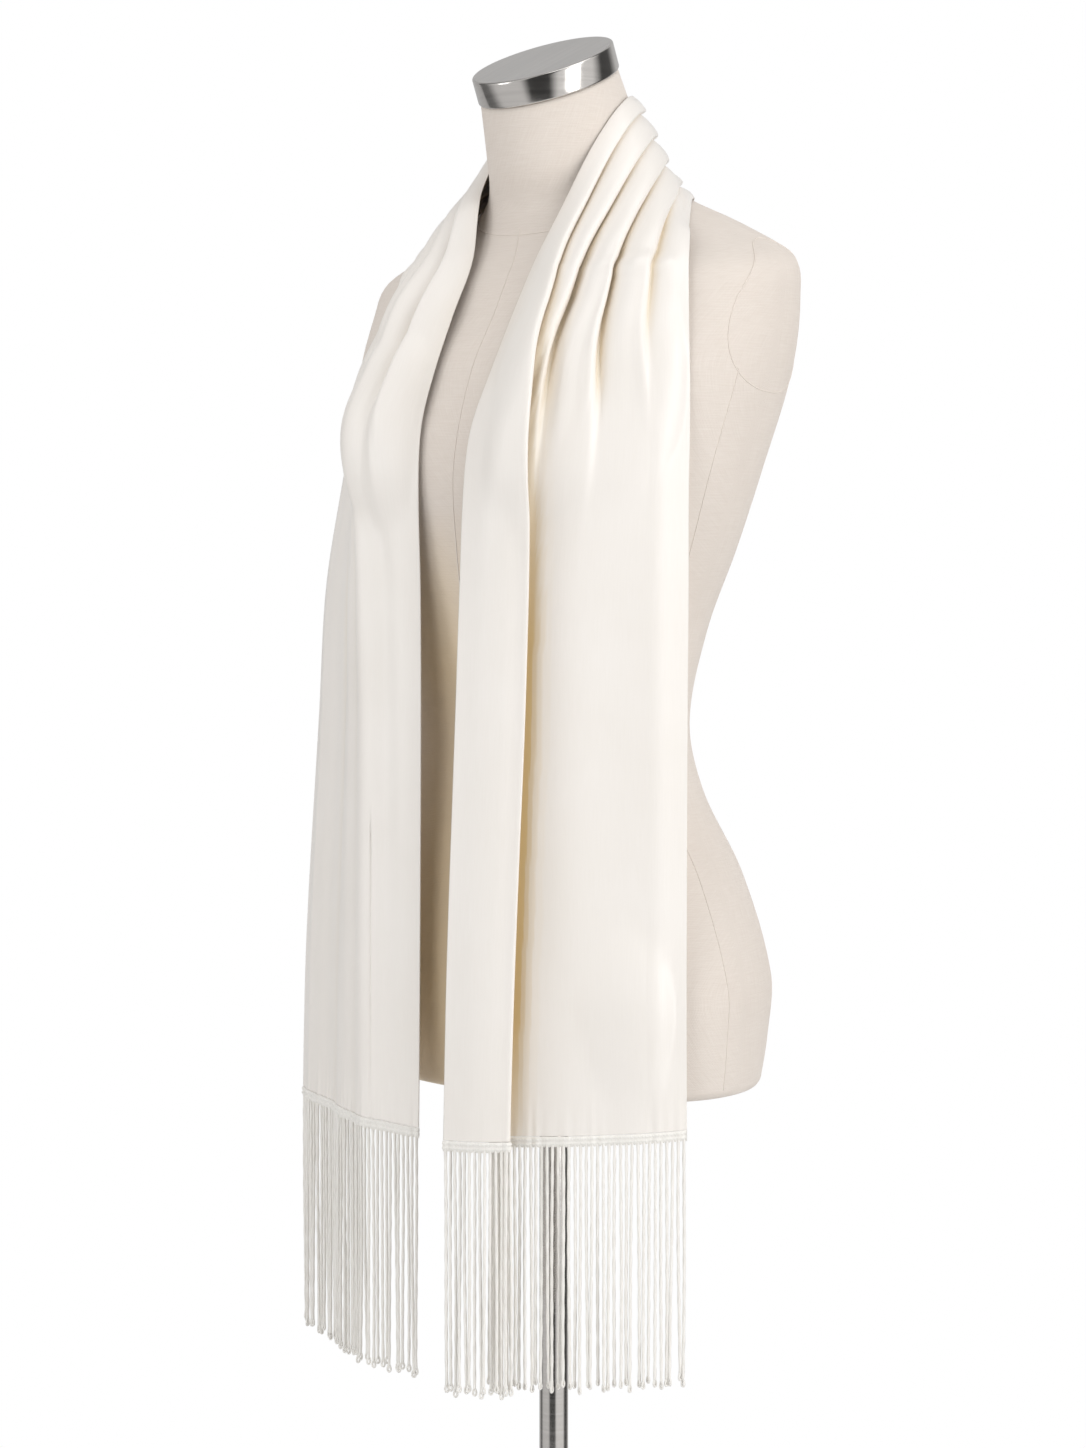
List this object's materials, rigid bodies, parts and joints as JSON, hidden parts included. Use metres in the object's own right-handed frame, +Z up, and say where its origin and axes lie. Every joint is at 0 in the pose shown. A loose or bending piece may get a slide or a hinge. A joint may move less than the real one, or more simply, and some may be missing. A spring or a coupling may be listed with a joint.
{
  "type": "evening stole on a dress form",
  "caption": "Ivory satin evening stole with a corded fringe, pleated round the neck of a linen-covered dress form on a steel stand, with both ends hanging down the front.",
  "frame": {"origin": "on the floor, in the middle of the base's underside, on the pole's axis", "axes": "+Z up along the pole; the form faces -Y; +X is the form's left side"},
  "size_m": [0.38, 0.38, 1.5726],
  "materials": {
    "satin": "satin weave with a soft sheen",
    "cord": "twisted silky cord",
    "linen": "matt plain-weave linen",
    "steel": "polished and brushed steel"
  },
  "bodies": {
    "root": {"stole_front_left": "satin", "stole_neck_back": "satin", "stole_front_right": "satin", "fringe_left": "cord", "fringe_right": "cord", "form_torso": "linen", "form_neck_cap": "steel", "form_pole": "steel", "form_socket": "steel", "form_base": "steel"}
  },
  "joints": []
}
